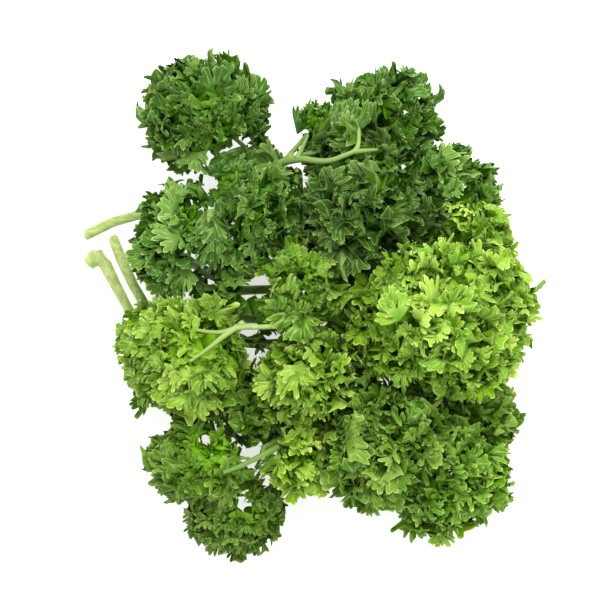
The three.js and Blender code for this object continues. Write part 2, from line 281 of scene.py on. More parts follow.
def fan_outline(grid, count, draw):
    """The angle and the distance of each point from the root, with the fan's length as 1."""
    teeth = grid["teeth"]
    last = STEPS_PER_TOOTH * teeth
    steps = np.arange(last + 1)
    middle = teeth / 2
    even = steps / last * 2 - 1
    envelope = 1 - 0.32 * np.abs(even) ** 2.2
    tips = draw.uniform(*TIP_LENGTH, (count, teeth))
    notches = draw.uniform(*NOTCH_DEPTH, (count, teeth + 1))
    small = teeth == SMALL_FAN["teeth"]
    lobe_width = draw.choice([1, 3], (count, 1)) if small else np.full((count, 1), teeth // 3 | 1)
    deep = np.abs(np.abs(np.arange(teeth + 1)[None, :] - middle) - lobe_width / 2) < 0.1
    notches = np.where(deep, draw.uniform(*CLEFT_DEPTH, (count, teeth + 1)), notches)
    outline = np.empty((count, last + 1))
    outline[:, 2::4] = tips
    outline[:, 1::4] = outline[:, 3::4] = tips * draw.uniform(*SHOULDER_LENGTH, (count, 1))
    outline[:, 4:-1:4] = np.minimum(tips[:, 1:], tips[:, :-1]) * (1 - notches[:, 1:-1])
    outline[:, [0, -1]] = draw.uniform(*END_LENGTH, (count, 2))
    outline = outline * envelope
    pull = np.zeros(last + 1)
    pull[1::4] = 1 - 2 * SHOULDER_SHARE
    pull[3::4] = 2 * SHOULDER_SHARE - 1
    toothed = (steps + pull) / last * 2 - 1
    radius = grid["reach"][None, :] * outline[:, grid["step"]]
    across = np.where(grid["reach"] > LAST_ROW_FROM, toothed[grid["step"]], even[grid["step"]])
    return across[None, :], radius, deep


trial_clefts = fan_outline(LARGE_FAN, 1, np.random.default_rng(1))[2]
print("clefts in a large leaflet", int(trial_clefts.sum()))

# %% [markdown]
# ## Rolling a leaflet back
#
# The edge of a curly leaflet turns back towards its stem, tighter and tighter. A fan could be
# bent with a modifier, but there are thousands of them. So the path of the roll is added up
# from small steps, each turned a little more than the last, and every point looks up its place
# on that path. The fan keeps its length, because each step is as long as it was when flat.

# %% Rolling a leaflet back
ROLL_STEPS = 49
ROLL_END = 1.2  # the path is a little longer than the longest leaflet
ROLL_POWER = 1.5


def looked_up(table, low, part):
    """The value of a table between two of its entries."""
    return (np.take_along_axis(table, low, 1) * (1 - part)
            + np.take_along_axis(table, low + 1, 1) * part)


def rolled_back(x, y, z, length, roll):
    """Rolls the outer part of each leaflet towards its lower side."""
    steps = np.linspace(-ROLL_END, ROLL_END, ROLL_STEPS)[None, :]
    stride = steps[0, 1] - steps[0, 0]
    turn = roll * np.sign(steps) * np.abs(steps) ** ROLL_POWER
    along = np.cumsum(np.cos(turn), axis=1) * stride
    down = np.cumsum(-np.sin(turn), axis=1) * stride
    root = ROLL_STEPS // 2
    along -= along[:, root:root + 1]
    down -= down[:, root:root + 1]
    place = (np.clip(y / length, -1, ROLL_END - 0.01) + ROLL_END) / stride
    low = np.clip(np.floor(place).astype(int), 0, ROLL_STEPS - 2)
    part = place - low
    angle = roll * np.sign(y) * np.abs(y / length) ** ROLL_POWER
    return np.stack([x + 0 * y,
                     length * looked_up(along, low, part) + z * np.sin(angle),
                     length * looked_up(down, low, part) + z * np.cos(angle)], axis=2)


one = np.ones((1, 1))
rolled_tip = rolled_back(0 * one, one, 0 * one, one, 1.2 * one)[0, 0]
print("tip of a leaflet that was 1 long, once rolled", np.round(rolled_tip, 2))

# %% [markdown]
# ## Lobes and teeth
#
# Curly parsley is curly because its edge grows faster than its middle and has to fold. The
# large folds are those of the lobes: each one tips its own way and twists a little about its
# own middle. The teeth of a lobe follow it, each with a small slope of its own. A notch that
# two teeth share gets the mean of both, or the fan would tear there.

# %% Lobes and teeth
LOBE_SLOPE = 0.24
LOBE_TWIST = 0.35
TOOTH_SLOPE = 0.10
MOST_LOBES = 4


def lobe_folds(grid, across, deep, draw):
    """How steeply each point of each fan rises, for its lobe and for its tooth."""
    count, teeth = len(deep), grid["teeth"]
    at_notch = grid["step"] % STEPS_PER_TOOTH == 0
    tooth = np.minimum(grid["step"] // STEPS_PER_TOOTH, teeth - 1)
    lobe = np.minimum(np.cumsum(deep, axis=1)[:, :-1], MOST_LOBES - 1)
    slopes = draw.normal(0, LOBE_SLOPE, (count, MOST_LOBES))
    twists = draw.normal(0, LOBE_TWIST, (count, MOST_LOBES))
    tooth_slopes = np.take_along_axis(slopes, lobe, 1) + draw.normal(0, TOOTH_SLOPE, (count, teeth))
    in_lobe = [lobe == number for number in range(MOST_LOBES)]
    teeth_of_lobe = np.stack([part.sum(axis=1) for part in in_lobe], axis=1)
    first = np.stack([np.argmax(part, axis=1) for part in in_lobe], axis=1)
    lobe_middle = (first + teeth_of_lobe / 2) / teeth * 2 - 1
    middle = np.take_along_axis(lobe_middle, lobe, 1)[:, tooth]
    twist = np.take_along_axis(twists, lobe, 1)[:, tooth] * (across - middle)
    slope = tooth_slopes[:, tooth]
    neighbour = tooth_slopes[:, np.maximum(tooth - 1, 0)]
    slope = np.where(at_notch, (slope + neighbour) / 2, slope)
    at_deep = np.zeros((count, STEPS_PER_TOOTH * teeth + 1), bool)
    at_deep[:, ::STEPS_PER_TOOTH] = deep
    return slope + np.where(at_deep[:, grid["step"]], 0, twist)


trial_draw = np.random.default_rng(2)
trial_across, _, trial_deep = fan_outline(LARGE_FAN, 200, trial_draw)
trial_folds = lobe_folds(LARGE_FAN, trial_across, trial_deep, trial_draw)
print("mean rise of a lobe", round(float(np.abs(trial_folds).mean()), 2))

# %% [markdown]
# ## The curl
#
# The whole curl is a sum of plain bends. On top of the lobes, teeth lean up and down in turn,
# each tooth is pleated and dips at its end, and the edge waves. Then the fan cups across its
# width, and last it rolls back or forward along its length. Cloth simulation could fold a leaf
# too, but it would be slow for so many, and hard to steer towards one kind of curl.

# %% The curl
SPREAD = (0.95, 1.45)  # half of the fan's opening, in radians
ROLL = (-0.5, 1.7)  # how far the outer part rolls back
WAVE = (0.10, 0.30)  # how high the edge waves
WAVE_COUNT = (3, 7)
CRISP = (0.0, 0.14)  # how far the teeth lean up and down in turn
PLEAT = (-0.02, 0.05)  # how deep each tooth is folded
TIP_DIP = (-0.2, 0.7)  # how far the ends of the teeth dip
DIP_FROM = 0.62
CUP = (-0.8, 1.1)  # how much the fan bends across its width


def curled_fans(grid, lengths, draw, spread=SPREAD, roll=ROLL, wave=WAVE):
    """Leaflets at the origin: +Y is out from the root, and +Z is the upper side."""
    count = len(lengths)

    def pick(span):
        return draw.uniform(*span, (count, 1))

    length = np.asarray(lengths)[:, None]
    across, radius, deep = fan_outline(grid, count, draw)
    angle = across * pick(spread)
    x = length * radius * np.sin(angle)
    y = length * radius * np.cos(angle)
    tooth = np.minimum(grid["step"] // STEPS_PER_TOOTH, grid["teeth"] - 1)
    in_tooth = np.abs(grid["step"] - STEPS_PER_TOOTH * tooth - 2) / 2  # 0 at the tip, 1 at a notch
    folds = lobe_folds(grid, across, deep, draw)
    turn = np.where(grid["step"] % STEPS_PER_TOOTH == 0, 0, 1 - 2 * (tooth % 2))
    turn = turn * (1 - 0.4 * in_tooth)
    tips = folds * radius ** 1.4 + pick(CRISP) * turn * grid["reach"] ** 2
    pleats = pick(PLEAT) * (0.5 - in_tooth) * grid["reach"] ** 1.5
    waves = pick(wave) * np.sin(across * pick(WAVE_COUNT) + pick((0, 6.28))) * radius ** 1.5 * 1.6
    dips = -pick(TIP_DIP) * np.maximum(radius - DIP_FROM, 0) ** 1.5
    z = length * (tips + pleats + waves + dips)
    bend = pick(CUP) / length
    z = z * np.cos(bend * x) + (1 - np.cos(bend * x)) / bend
    x = np.sin(bend * x) / bend
    return rolled_back(x, y, z, length, pick(roll))


trial = curled_fans(LARGE_FAN, [1.0], np.random.default_rng(3))
print("width, length and height of a curled leaflet", np.round(np.ptp(trial[0], axis=0), 2))

# %% [markdown]
# ## Placing leaflets
#
# A leaflet is turned by a small frame of three directions and moved to its root: out along its
# own middle, up to its upper side, and across. The helpers below make such directions for many
# leaflets in one go.

# %% Placing leaflets
def unit(vectors):
    return vectors / np.maximum(np.linalg.norm(vectors, axis=-1, keepdims=True), 1e-12)


def across_of(directions, draw):
    """A random direction square to each given one."""
    sideways = draw.normal(size=directions.shape)
    sideways -= np.sum(sideways * directions, axis=1, keepdims=True) * directions
    return unit(sideways)


def turned_about(vectors, axes, angles):
    """Turns each vector about its axis, which is square to it."""
    angles = np.asarray(angles)[:, None]
    return vectors * np.cos(angles) + np.cross(axes, vectors) * np.sin(angles)


def placed(points, out, upper, roots):
    out = unit(out)
    side = unit(np.cross(out, upper))
    frames = np.stack([side, out, np.cross(side, out)], axis=2)
    return np.einsum("nij,nkj->nki", frames, points) + roots[:, None, :]


print("across of up:", np.round(across_of(np.array([[0, 0, 1.0]]), np.random.default_rng(4))[0], 2))

# %% [markdown]
# ## The lower side
#
# A parsley leaf is about a fifth of a millimetre thick. A sheet without thickness would be
# quicker, but it has no edge to catch the light, and it can't be printed or measured. So the
# inner points are copied and set off along the leaf's own normals, while the points on the
# edge are shared, and the leaf closes there.

# %% The lower side
LEAF_THICKNESS = 0.22 * MM


def with_lower_side(points, grid):
    upper = grid["upper"]
    faces = np.cross(points[:, upper[:, 1]] - points[:, upper[:, 0]],
                     points[:, upper[:, 2]] - points[:, upper[:, 0]])
    normals = np.zeros_like(points)
    for corner in range(3):
        np.add.at(normals, (slice(None), upper[:, corner]), faces)
    inner = grid["inner"]
    lower = points[:, inner] - LEAF_THICKNESS * unit(normals[:, inner])
    return np.concatenate([points, lower], axis=1)


print("points of a leaflet", len(with_lower_side(trial * 9 * MM, LARGE_FAN)[0]))

# %% [markdown]
# ## The heads
#
# Each head of the bunch is a ball of leaflets on its own branch. This table gives the middle
# and the radius of each, in millimetres, as measured on the drawing of the bunch. The middle
# of the drawing isn't the middle of the bunch's box, so every place is moved by a fixed shift.

# %% The heads
SHIFT = np.array((2.37, -2.01, 0.0))  # from the middle of the drawing to the middle of the box

HEADS = {
    "sprig_a_leaf_1": (-40, 71.5, 34, 26), "sprig_a_leaf_2": (28, 71.5, 32, 22.5),
    "sprig_a_leaf_3": (3, 67, 46, 9), "sprig_a_leaf_4": (-27, 45, 25, 22.5),
    "sprig_b_leaf_1": (-39.5, -58, 36, 23), "sprig_b_leaf_2": (-1, -57, 38, 19),
    "sprig_b_leaf_3": (-29.5, -78, 21, 20), "sprig_b_leaf_4": (-50, -37, 17, 18),
    "sprig_b_leaf_5": (-23, -44, 36, 20), "sprig_c_leaf_1": (-45, -25, 50, 25.5),
    "sprig_c_leaf_2": (-1, -33, 54, 20), "sprig_c_leaf_3": (-3, 2, 58, 20),
    "sprig_c_leaf_4": (-63.5, -9, 14, 13), "sprig_d_leaf_1": (-47, 22, 36, 23.5),
    "sprig_d_leaf_2": (-14.5, 28, 48, 23.5), "sprig_d_leaf_3": (-27, 3, 32, 23),
    "sprig_e_leaf_1": (19.5, 30.5, 52, 30.5), "sprig_e_leaf_2": (50, 40, 30, 24),
    "sprig_e_leaf_3": (18, 60, 17, 21), "sprig_f_leaf_1": (48, -9, 53, 36),
    "sprig_f_leaf_2": (58.5, 20, 46, 18.5), "sprig_f_leaf_3": (61, -8, 20, 24),
    "sprig_f_leaf_4": (22, 6, 32, 20), "sprig_g_leaf_1": (27.5, -56, 43.5, 27.5),
    "sprig_g_leaf_2": (51.5, -65, 25, 26), "sprig_g_leaf_3": (57, -41, 18, 23),
    "sprig_g_leaf_4": (4, -45, 15, 20),
}


def laid(point):
    """A point of the drawing as a place in the scene, in metres."""
    return (np.array(point) + SHIFT) * MM


print("largest head", max(HEADS, key=lambda name: HEADS[name][3]))

# %% [markdown]
# ## The room of a head
#
# Each head fills a ball round its own middle. Where two balls meet, a flat wall between them
# shares out the space, and the ground is one more wall. The walls come from the two radii
# alone, so both heads agree on them, and no leaflets have to be tested against each other.

# %% The room of a head
HEAD_SHARE = 0.945  # how much of its ball a head fills
SEAM = 0.8 * MM  # the gap that a head leaves to each wall
GROUND_CLEAR = 0.3 * MM


def mesh_points(mesh):
    points = np.empty(len(mesh.vertices) * 3, np.float32)
    mesh.vertices.foreach_get("co", points)
    return points.reshape(-1, 3)


def room_of(name):
    middle = laid(HEADS[name][:3])
    stalk = mesh_points(frame["nodes"][name.split("_leaf_")[0] + "_stalk"].data).astype(float)
    neck = stalk[np.argmin(np.linalg.norm(stalk - middle, axis=1))]
    return {"name": name, "middle": middle, "radius": HEADS[name][3] * MM * HEAD_SHARE,
            "axis": unit((middle - neck)[None])[0]}


def add_walls(room, others):
    """Walls as a direction and a distance from the middle of the head."""
    walls = [(0.0, 0.0, -1.0, room["middle"][2] - GROUND_CLEAR)]
    for other in others:
        apart = other["middle"] - room["middle"]
        distance = np.linalg.norm(apart)
        if other is room or distance > room["radius"] + other["radius"]:
            continue
        wall = (distance ** 2 + room["radius"] ** 2 - other["radius"] ** 2) / (2 * distance)
        walls.append((*(apart / distance), wall))
    room["walls"] = np.array(walls)


def reach_of(room, directions):
    """How far the room goes in each direction."""
    facing = directions @ room["walls"][:, :3].T
    distance = np.where(facing > 1e-6, room["walls"][:, 3] / np.maximum(facing, 1e-6), np.inf)
    return np.minimum(distance.min(axis=1) - SEAM, room["radius"])


rooms = {name: room_of(name) for name in leaf_names}
for room in rooms.values():
    add_walls(room, rooms.values())
print("rooms", len(rooms), "walls", sum(len(room["walls"]) for room in rooms.values()))

# %% [markdown]
# ## Keeping to the room
#
# Leaflets that would pass a wall or leave the ball are drawn in towards the middle. Cutting
# them off there would be easier, but cut leaves look like a trimmed hedge. Drawn in gently,
# two heads meet in a soft valley, as they do when a bunch is squeezed.

# %% Keeping to the room
SOFT_FROM = 0.90  # the share of the room from which leaflets are drawn in
SOFT_ROOM = 0.25  # and how much further they can ever get
CEILING = 88.0 * MM  # no leaflet stands higher than this
CEILING_SOFT = 4 * MM


def drawn_in(points, room, stretch=1.0):
    """Draws points into the room; stretch makes it larger or smaller for each leaflet."""
    flat = points.reshape(-1, 3) - room["middle"]
    own = np.repeat(np.broadcast_to(stretch, len(points)), points.shape[1])
    share = np.linalg.norm(flat, axis=1) / reach_of(room, unit(flat))
    soft = own * (SOFT_FROM + SOFT_ROOM * np.tanh((share / own - SOFT_FROM) / SOFT_ROOM))
    scale = np.where(share > SOFT_FROM * own, soft / np.maximum(share, 1e-9), 1)
    moved = (flat * scale[:, None] + room["middle"]).reshape(points.shape)
    height = moved[..., 2]
    low_ceiling = CEILING - CEILING_SOFT
    high = low_ceiling + CEILING_SOFT * np.tanh((height - CEILING + CEILING_SOFT) / CEILING_SOFT)
    moved[..., 2] = np.where(height > low_ceiling, high, np.maximum(height, GROUND_CLEAR))
    return moved


trial_room = rooms["sprig_f_leaf_1"]
trial_point = trial_room["middle"][None, None] + (0, 0, 2 * trial_room["radius"])
print("a point far above is drawn in to", np.round(drawn_in(trial_point, trial_room)[0, 0] / MM, 1))

# %% [markdown]
# ## Spreading leaflets over a head
#
# The leaflets are spread over the head along a golden spiral, which covers a ball evenly with
# any number of points. Random places would leave bald spots beside crowded ones. Where a head
# only faces its neighbour or the ground, fewer are needed, and round the branch there is none.

# %% Spreading leaflets over a head
SPRAY_AREA = {"leaf_dark": 66.0, "leaf_middle": 46.0, "leaf_light": 42.0}  # square mm of the ball


def spiral_directions(count, draw, jitter):
    steps = np.arange(count) + 0.5
    up = 1 - 2 * steps / count
    out = np.sqrt(np.maximum(0, 1 - up * up))
    turn = steps * math.pi * (3 - math.sqrt(5)) + draw.uniform(0, 6.28)
    even = np.stack([out * np.cos(turn), out * np.sin(turn), up], axis=1)
    return unit(even + draw.normal(0, jitter, even.shape))


def spray_directions(room, area, draw):
    count = int(4 * math.pi * (room["radius"] / MM) ** 2 / area)
    outward = spiral_directions(count, draw, 0.6 / math.sqrt(count))
    reach = reach_of(room, outward)
    open_side = reach > room["radius"] * 0.98
    keep = np.where(open_side, np.where(outward[:, 2] > -0.5, 1.0, 0.5),
                    np.where(outward[:, 2] > 0.1, 0.45, 0.2))
    near_neck = outward @ room["axis"] < -0.93
    chosen = (draw.uniform(0, 1, count) < keep) & ~near_neck & (reach > 0.3 * room["radius"])
    return outward[chosen], reach[chosen]


trial_draw = np.random.default_rng(5)
trial_outward, _ = spray_directions(trial_room, SPRAY_AREA["leaf_light"], trial_draw)
print("places on the largest head", len(trial_outward))

# %% [markdown]
# ## Swellings
#
# A real head is no smooth ball. Its side branches end in tufts, and between two tufts there is
# a shallow dip. A few directions are picked for the tufts, and the head swells near each of
# them, which gives the ruffled outline that one sees against the table.

# %% Swellings
TUFT_SPACING = 9 * MM
DIP_SHARE = 0.80  # the head's size between two tufts
SWELL_SHARE = 0.28  # and how much more it is at a tuft


def lumps(room, directions, draw):
    """How far a head swells in each direction."""
    count = max(4, int((room["radius"] / TUFT_SPACING) ** 2))
    middles = spiral_directions(count, draw, 0.25)
    near = (directions @ middles.T).max(axis=1)
    width = math.sqrt(4 * math.pi / count) / 2
    edge = math.cos(1.5 * width)
    return DIP_SHARE + SWELL_SHARE * np.clip((near - edge) / (1 - edge), 0, 1)


trial_swell = lumps(trial_room, np.eye(3), np.random.default_rng(6))
print("swelling along x, y and z", np.round(trial_swell, 2))

# %% [markdown]
# ## Sprays of leaflets
#
# At each place stands a spray of three: a large leaflet out and a small one to each side, as
# at the end of a side branch. All of them fan out from a point low in the head, where its
# branch comes in, so their tips point away from it like the sparks of a firework. Pointing
# them straight out from the middle instead would make a pompom.

# %% Sprays of leaflets
LEAFLET = {"leaf_dark": 11.0, "leaf_middle": 9.2, "leaf_light": 8.8}  # mm from root to tip
LENGTH_VARIES = (0.72, 1.40)
SOURCE_DEPTH = 0.6  # how far below its middle the leaflets of a head fan out from
SIDE_TURN = 1.15  # how far the small leaflets turn aside, in radians
SIDE_LENGTH = 0.62  # beside the large one


def sprays(room, tone, draw):
    """The large leaflets, and the small ones at their sides."""
    outward, reach = spray_directions(room, SPRAY_AREA[tone], draw)
    count = len(outward)
    swell = lumps(room, outward, draw)
    stretch = swell * draw.uniform(0.88, 1.12, count)
    usual = min(LEAFLET[tone], max(room["radius"] / MM * 0.42, 6)) * MM
    length = usual * draw.uniform(*LENGTH_VARIES, count)
    start = np.maximum(reach * swell - length * draw.uniform(0.45, 0.95, count), 0.3 * reach)
    roots = room["middle"] + outward * start[:, None]
    source = room["middle"] - SOURCE_DEPTH * room["radius"] * room["axis"]
    out = unit(unit(roots - source) + 0.5 * outward + draw.normal(0, 0.36, (count, 3)))
    upper = outward + 0.35 * across_of(outward, draw)
    upper = unit(upper - np.sum(upper * out, axis=1, keepdims=True) * out)
    upper = turned_about(upper, out, draw.normal(0, 0.7, count))
    main = placed(curled_fans(LARGE_FAN, length, draw), out, upper, roots)
    sides = []
    for turn in (-SIDE_TURN, SIDE_TURN):
        angle = turn + draw.normal(0, 0.2, count)
        own_out = turned_about(out, upper, angle)
        own_upper = turned_about(upper, own_out, draw.normal(0, 0.4, count) + 0.3 * np.sign(turn))
        fans = curled_fans(SMALL_FAN, SIDE_LENGTH * length * draw.uniform(0.8, 1.2, count), draw)
        sides.append(drawn_in(placed(fans, own_out, own_upper, roots), room, stretch))
    return drawn_in(main, room, stretch), np.concatenate(sides)


trial_sprays = sprays(trial_room, "leaf_light", np.random.default_rng(7))
print("large and small leaflets of the largest head", [len(fans) for fans in trial_sprays])

# %% [markdown]
# ## Leaflets inside and below
#
# Between the ruffles one looks into the head. A layer of wider leaflets round its middle
# closes that view, where a real head has its oldest leaves. Below the heads a few leaflets
# hang down and lie near the ground, so the bunch doesn't seem to float when seen from the
# side. One head hangs free and shows its rounded underside, so it has none of these.

# %% Leaflets inside and below
HANGING_FREE = {"sprig_a_leaf_1"}
INNER_SHARE = 0.26  # how far out the inner leaflets start
LOW_LENGTH = 10 * MM


def inner_leaflets(room, draw):
    count = max(10, int((room["radius"] / MM) ** 2 / 24))
    outward = spiral_directions(count, draw, 0.2)
    out = outward + 0.8 * across_of(outward, draw)
    lengths = np.minimum(room["radius"] * 0.45, 11 * MM) * draw.uniform(0.8, 1.1, count)
    roots = room["middle"] + outward * reach_of(room, outward)[:, None] * INNER_SHARE
    fans = curled_fans(SMALL_FAN, lengths, draw, wave=(0.08, 0.25))
    return placed(fans, out, across_of(unit(out), draw), roots)


def low_leaflets(room, draw):
    count = int((room["radius"] / MM) ** 2 / 40)
    turn = draw.uniform(0, 2 * math.pi, count)
    away = np.sqrt(draw.uniform(0.0, 0.36, count)) * room["radius"]
    height = draw.uniform(0.15, 0.75, count) * np.minimum(room["middle"][2], 28 * MM) + 2 * MM
    roots = np.stack([room["middle"][0] + away * np.cos(turn),
                      room["middle"][1] + away * np.sin(turn), height], axis=1)
    level = np.stack([np.cos(turn), np.sin(turn), 0 * turn], axis=1)
    out = unit(level + draw.normal(0, 0.7, (count, 3)) * (1, 1, 0.4))
    upper = unit(np.array((0, 0, 1.0)) + draw.normal(0, 0.4, (count, 3)))
    lengths = LOW_LENGTH * draw.uniform(0.8, 1.2, count)
    fans = curled_fans(SMALL_FAN, lengths, draw, roll=(0.0, 1.2))
    grown = placed(fans, out, upper, roots)
    grown[..., 2] = np.maximum(grown[..., 2], 0.5 * MM)
    return grown


trial_inner = inner_leaflets(trial_room, np.random.default_rng(8))
print("inner leaflets of the largest head", len(trial_inner))

# %% [markdown]
# ## Side shoots
#
# Here and there a head sends out a small tuft of longer leaflets, which breaks its round
# outline or lies across a neighbour. These few are listed one by one, because they are what one
# knows a bunch by. Each entry has the place of the root in millimetres, the heading and the
# tilt in degrees, how many leaflets there are, their length, and how wide they open.

# %% Side shoots
SIDE_SHOOTS = {
    "sprig_a_leaf_1": [(-32, 50, 30, 250, 10, 5, 13, 1.2)],
    "sprig_a_leaf_2": [(17, 58, 58, 150, 10, 4, 12, 1.0), (17, 60, 56, 95, 25, 5, 12, 1.0)],
    "sprig_a_leaf_3": [(-1.5, 59, 48, 62, 20, 4, 15, 0.6), (-7.5, 53, 46, 110, 20, 5, 8, 1.2)],
    "sprig_a_leaf_4": [(-12, 52, 40, 178, 12, 3, 13, 1.2), (-24.5, 57, 37, 245, 12, 3, 12, 1.2),
                       (-36, 26, 56, 266, -6, 6, 11, 0.9), (-35, 21, 55, 262, -12, 6, 10, 0.9),
                       (-34.5, 16, 53, 262, -16, 5, 9, 0.9)],
    "sprig_c_leaf_2": [(11, -22, 38, 20, -10, 4, 13, 0.9), (-3.5, -31, 71, 268, 0, 3, 12, 1.2)],
    "sprig_c_leaf_3": [(7, -10, 46, 330, 0, 4, 12, 1.2), (9, -18, 40, 320, -10, 5, 13, 0.9),
                       (-3, -11, 68, 235, 5, 6, 11, 1.2)],
    "sprig_c_leaf_4": [(-58, -8, 18, 215, 5, 6, 13, 1.2), (-62, -16, 16, 235, 0, 5, 12, 1.2)],
    "sprig_d_leaf_2": [(-4, 34, 46, 20, -5, 7, 11, 1.2), (-2, 26, 44, 0, -10, 7, 11, 1.2)],
    "sprig_d_leaf_3": [(-28, 13, 28, 80, 10, 8, 12, 1.2)],
    "sprig_f_leaf_1": [(35, -13, 82, 95, 12, 3, 12, 1.2)],
    "sprig_f_leaf_2": [(70, 10, 44, 5, 5, 5, 11, 1.2), (66, 12, 48, 70, 25, 4, 12, 1.2)],
    "sprig_g_leaf_1": [(14.5, -58, 65, 45, 15, 4, 11, 1.2)],
    "sprig_g_leaf_4": [(14, -31, 20, 60, 10, 8, 12, 1.2)],
}


def side_shoots(shoots, draw):
    """Longer leaflets that stand out of a head in small tufts."""
    grown = []
    for x, y, z, heading, tilt, count, length, half in shoots:
        turn, rise = math.radians(heading), math.radians(tilt)
        level = math.cos(rise)
        out = np.array((math.cos(turn) * level, math.sin(turn) * level, math.sin(rise)))
        out = unit(out + draw.normal(0, 0.38, (count, 3)))
        roots = (np.array((x, y, z)) + SHIFT + draw.normal(0, 1.5, (count, 3))) * MM
        upper = unit(np.array((0, 0, 1.0)) + draw.normal(0, 0.35, (count, 3)))
        fans = curled_fans(LARGE_FAN, length * MM * draw.uniform(0.7, 1.15, count), draw,
                           spread=(0.8 * half, 1.2 * half), roll=(-0.3, 1.2))
        grown.append(placed(fans, out, upper, roots))
    return np.concatenate(grown)


print("side shoots", sum(len(shoots) for shoots in SIDE_SHOOTS.values()))

# %% [markdown]
# ## The routes of the side stems
#
# On three sprigs thin stems part from a branch in plain view and run over the leaves. Each
# has its radius at the start and the places that it passes, in millimetres. The routes come
# before the leaves, because the leaflets have to leave them free. The stems themselves are
# made at the end, together with the stalks.

# %% The routes of the side stems
SIDE_STEMS = {
    "sprig_a_side_stem_1": (1.4, [(-10.6, 50.9, 45), (-4.5, 51.2, 53), (2.2, 48.6, 59),
                                  (7.8, 47.7, 63), (13, 49.3, 66), (17.4, 50.9, 67),
                                  (18.3, 56.1, 64), (18, 62.1, 58)]),
    "sprig_a_side_stem_2": (1.1, [(-5, 51, 53), (-2.6, 55.5, 52), (-0.8, 60.9, 49)]),
    "sprig_a_side_stem_3": (1.1, [(16.5, 50.5, 66.5), (20.8, 50.9, 67), (24.8, 51.8, 64)]),
    "sprig_b_side_stem_1": (1.3, [(-12, -57, 45), (-17.5, -60.5, 49), (-22.8, -63.5, 51),
                                  (-28, -66, 52.5), (-32, -67.5, 53)]),
    "sprig_c_side_stem_1": (1.2, [(-22, -15, 65.5), (-27, -15.5, 66.5), (-34, -18.5, 68.5),
                                  (-42, -17, 70.5)]),
    "sprig_c_side_stem_2": (1.2, [(-27, -15.5, 66.5), (-32, -19, 68), (-37, -24, 70.5),
                                  (-44, -29, 71.5)]),
}
print("side stems", len(SIDE_STEMS))

# %% [markdown]
# ## What stays open
#
# A real bunch is loose: through a few openings one sees the table, and the side stems lie
# bare. Both are kept open in the same way. A straight line goes up from each such place towards
# the camera, and a leaflet that comes too near to the line is left out. Whole leaflets are left
# out rather than cut, so an opening has the toothed outline of the leaflets round it.

# %% What stays open
TO_CAMERA = np.array((0.0, -math.cos(VIEW_ELEVATION), math.sin(VIEW_ELEVATION)))
OPENING_HEIGHT = 0.12
OVER_STEM_HEIGHT = 0.03
OVER_STEM_ROOM = 0.6  # mm on each side of a stem

OPENINGS = [  # x and y on the ground, and the radius, in mm
    (-38.5, 52.4, 1.8), (-42, 21.6, 1.8), (-18.7, 11.6, 3.4), (-23.4, -3.4, 3.2),
    (-57, -39.5, 4.5), (-39.9, -46.6, 1.4), (-23.2, -53.2, 2.0), (-25.8, -71.9, 1.4),
    (-7.9, 66.4, 2.0),
]


def nearest_share(points, start, along):
    """Which share of a straight line is nearest to each point."""
    return np.clip((points - start) @ along / (along @ along), 0, 1)


def near_room(line, room):
    start, end, _ = line
    share = nearest_share(room["middle"], start, end - start)
    apart = np.linalg.norm(start + share * (end - start) - room["middle"])
    return apart < room["radius"] + 8 * MM


def clear_of(fans, lines):
    """Which leaflets leave the lines free; each line has two ends and a radius."""
    free = np.ones(len(fans), bool)
    for start, end, radius in lines:
        share = nearest_share(fans, start, end - start)
        apart = np.linalg.norm(fans - start - share[..., None] * (end - start), axis=2)
        free &= apart.min(axis=1) > radius
    return free


open_lines = []
for x, y, radius in OPENINGS:
    open_lines.append((laid((x, y, 0)), laid((x, y, 0)) + OPENING_HEIGHT * TO_CAMERA, radius * MM))
for radius, route in SIDE_STEMS.values():
    for start, end in zip(route[:-1], route[1:]):
        for share in (0.5, 1.0):
            place = laid(start) * (1 - share) + laid(end) * share
            open_lines.append((place, place + OVER_STEM_HEIGHT * TO_CAMERA,
                               (radius + OVER_STEM_ROOM) * MM))
print("lines kept open", len(open_lines))

# %% [markdown]
# ## What a leaflet tells its material
#
# A leaf is darker at its root, as painted shade, paler at its edge, as a painted highlight,
# duller below, and a brighter, richer green inside the head, as painted light. The material
# can't know any of this from a place in space, so each point carries it as a few numbers: how
# far out it is, how near to a tooth's tip, on which side, how deep in the head, and how bright
# its head and its leaflet are. They travel with the mesh, so the colour is the same from every
# side.

# %% What a leaflet tells its material
HEAD_TONE = {  # how bright a head is beside the others of its tone
    "sprig_a_leaf_2": 1.1, "sprig_b_leaf_1": 0.78, "sprig_b_leaf_2": 1.6, "sprig_b_leaf_3": 0.64,
    "sprig_b_leaf_5": 0.74, "sprig_c_leaf_1": 0.92, "sprig_c_leaf_2": 0.9, "sprig_c_leaf_3": 0.68,
    "sprig_d_leaf_1": 1.15, "sprig_e_leaf_1": 0.68, "sprig_e_leaf_2": 1.3, "sprig_f_leaf_1": 1.15,
    "sprig_f_leaf_2": 1.2, "sprig_f_leaf_4": 1.14, "sprig_g_leaf_1": 0.9, "sprig_g_leaf_2": 1.22,
}
HEAD_GREEN = {  # a turn of the hue, down towards yellow or up towards blue
    "sprig_b_leaf_2": -0.016, "sprig_c_leaf_3": 0.016, "sprig_f_leaf_4": 0.012,
}


